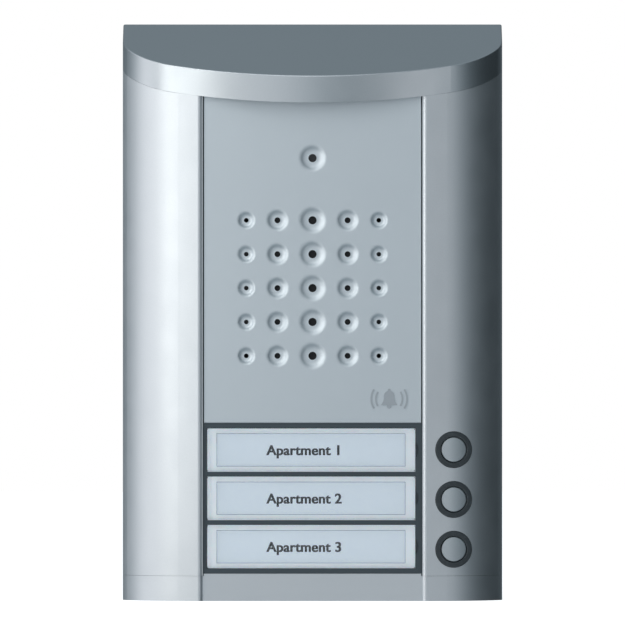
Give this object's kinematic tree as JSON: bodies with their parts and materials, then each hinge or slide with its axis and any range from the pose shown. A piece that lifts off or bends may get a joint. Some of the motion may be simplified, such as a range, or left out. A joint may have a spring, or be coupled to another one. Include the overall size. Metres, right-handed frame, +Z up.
{
  "type": "door intercom panel",
  "caption": "Wall-mounted door intercom with a sloped roof cap, curved side profiles, perforated speaker panel, hinged name windows and ringed call buttons.",
  "frame": {"origin": "centre of the face that lies on the wall", "axes": "+Z up, the front looks along -Y, +X to the right of someone facing it; +Y goes into the wall"},
  "size_m": [0.1492, 0.049, 0.2266],
  "materials": {
    "profile_aluminium": "satin anodised",
    "cap_aluminium": "satin anodised",
    "panel_aluminium": "fine matt anodised",
    "symbol_relief": "satin",
    "frame_plastic": "fine grain",
    "clear_plastic": "clear",
    "card_stock": "matt",
    "opal_plastic": "opal",
    "ring_rubber": "matt",
    "button_metal": "satin",
    "black_plastic": "moulded",
    "base_plastic": "moulded",
    "bracket_zinc": "die-cast zinc",
    "foam": "closed cell foam",
    "circuit_board": "solder mask",
    "lamp": "clear resin",
    "green_plastic": "moulded",
    "blue_plastic": "moulded",
    "white_plastic": "moulded",
    "screw_steel": "zinc plated",
    "basket_steel": "pressed and coated",
    "magnet_ferrite": "ferrite",
    "cone_paper": "pressed paper",
    "mesh_steel": "black woven wire",
    "capacitor_sleeve": "shrink sleeve",
    "transformer_core": "varnished",
    "lead_insulation": "insulated wire"
  },
  "bodies": {
    "wall_base": {"base_plate": "base_plastic", "hinge_brackets": "bracket_zinc", "lock_bracket": "bracket_zinc", "wall_seal": "foam", "cable_grommet": "ring_rubber", "thrust_washers": "screw_steel"},
    "front_housing": {"amplifier_chip": "black_plastic", "backlight_leds": "lamp", "bell_symbol": "symbol_relief", "bottom_cap": "cap_aluminium", "button_board": "circuit_board", "button_ribbon": "lead_insulation", "button_ring_1": "ring_rubber", "button_ring_2": "ring_rubber", "button_ring_3": "ring_rubber", "call_switch_1": "black_plastic", "call_switch_2": "black_plastic", "call_switch_3": "black_plastic", "capacitors": "capacitor_sleeve", "carrier": "black_plastic", "hinge_pins": "screw_steel", "inner_leads": "lead_insulation", "label_card_1": "card_stock", "label_card_2": "card_stock", "label_card_3": "card_stock", "led_board": "circuit_board", "left_side_profile": "profile_aluminium", "light_guide": "opal_plastic", "line_transformer": "transformer_core", "loudspeaker_basket": "basket_steel", "loudspeaker_cone": "cone_paper", "loudspeaker_magnet": "magnet_ferrite", "main_board": "circuit_board", "microphone_boot": "ring_rubber", "microphone_capsule": "basket_steel", "nameplate_frame": "frame_plastic", "right_side_profile": "profile_aluminium", "self_tapping_screws": "screw_steel", "small_components": "transformer_core", "speaker_gasket": "foam", "speaker_mesh": "mesh_steel", "speaker_panel": "panel_aluminium", "speaker_plug": "black_plastic", "terminal_block": "green_plastic", "terminal_screws": "screw_steel", "top_cap": "cap_aluminium", "volume_trimmer": "blue_plastic"},
    "lock_screw": {"lock_screw": "screw_steel", "lock_screw_clip": "screw_steel"},
    "volume_rotor": {"volume_rotor": "white_plastic"},
    "button_1": {"button_cap_1": "button_metal", "switch_plunger_1": "white_plastic"},
    "name_window_1": {"name_window_1": "clear_plastic"},
    "button_2": {"button_cap_2": "button_metal", "switch_plunger_2": "white_plastic"},
    "name_window_2": {"name_window_2": "clear_plastic"},
    "button_3": {"button_cap_3": "button_metal", "switch_plunger_3": "white_plastic"},
    "name_window_3": {"name_window_3": "clear_plastic"}
  },
  "joints": [
    {"name": "housing_hinge", "type": "hinge", "parent": "wall_base", "child": "front_housing", "pos_m": [-0.0685, -0.008, 0], "axis": [0, 0, -1], "range_deg": [0, 70]},
    {"name": "lock_screw_travel", "type": "slide", "parent": "front_housing", "child": "lock_screw", "axis": [0, 0, 1], "range_m": [0, 0.003]},
    {"name": "volume_turn", "type": "hinge", "parent": "front_housing", "child": "volume_rotor", "pos_m": [0.025, -0.0103, 0.046], "axis": [0, 1, 0], "range_deg": [-135, 135]},
    {"name": "button_1_press", "type": "slide", "parent": "front_housing", "child": "button_1", "axis": [0, 1, 0], "range_m": [0, 0.001], "stiffness_N_per_m": 600, "springref_m": -0.0005},
    {"name": "button_2_press", "type": "slide", "parent": "front_housing", "child": "button_2", "axis": [0, 1, 0], "range_m": [0, 0.001], "stiffness_N_per_m": 600, "springref_m": -0.0005},
    {"name": "button_3_press", "type": "slide", "parent": "front_housing", "child": "button_3", "axis": [0, 1, 0], "range_m": [0, 0.001], "stiffness_N_per_m": 600, "springref_m": -0.0005},
    {"name": "name_window_1_hinge", "type": "hinge", "parent": "front_housing", "child": "name_window_1", "pos_m": [-0.04015, -0.04015, -0.05415], "axis": [0, 0, -1], "range_deg": [0, 75]},
    {"name": "name_window_2_hinge", "type": "hinge", "parent": "front_housing", "child": "name_window_2", "pos_m": [-0.04015, -0.04015, -0.0731], "axis": [0, 0, -1], "range_deg": [0, 75]},
    {"name": "name_window_3_hinge", "type": "hinge", "parent": "front_housing", "child": "name_window_3", "pos_m": [-0.04015, -0.04015, -0.09205], "axis": [0, 0, -1], "range_deg": [0, 75]}
  ]
}
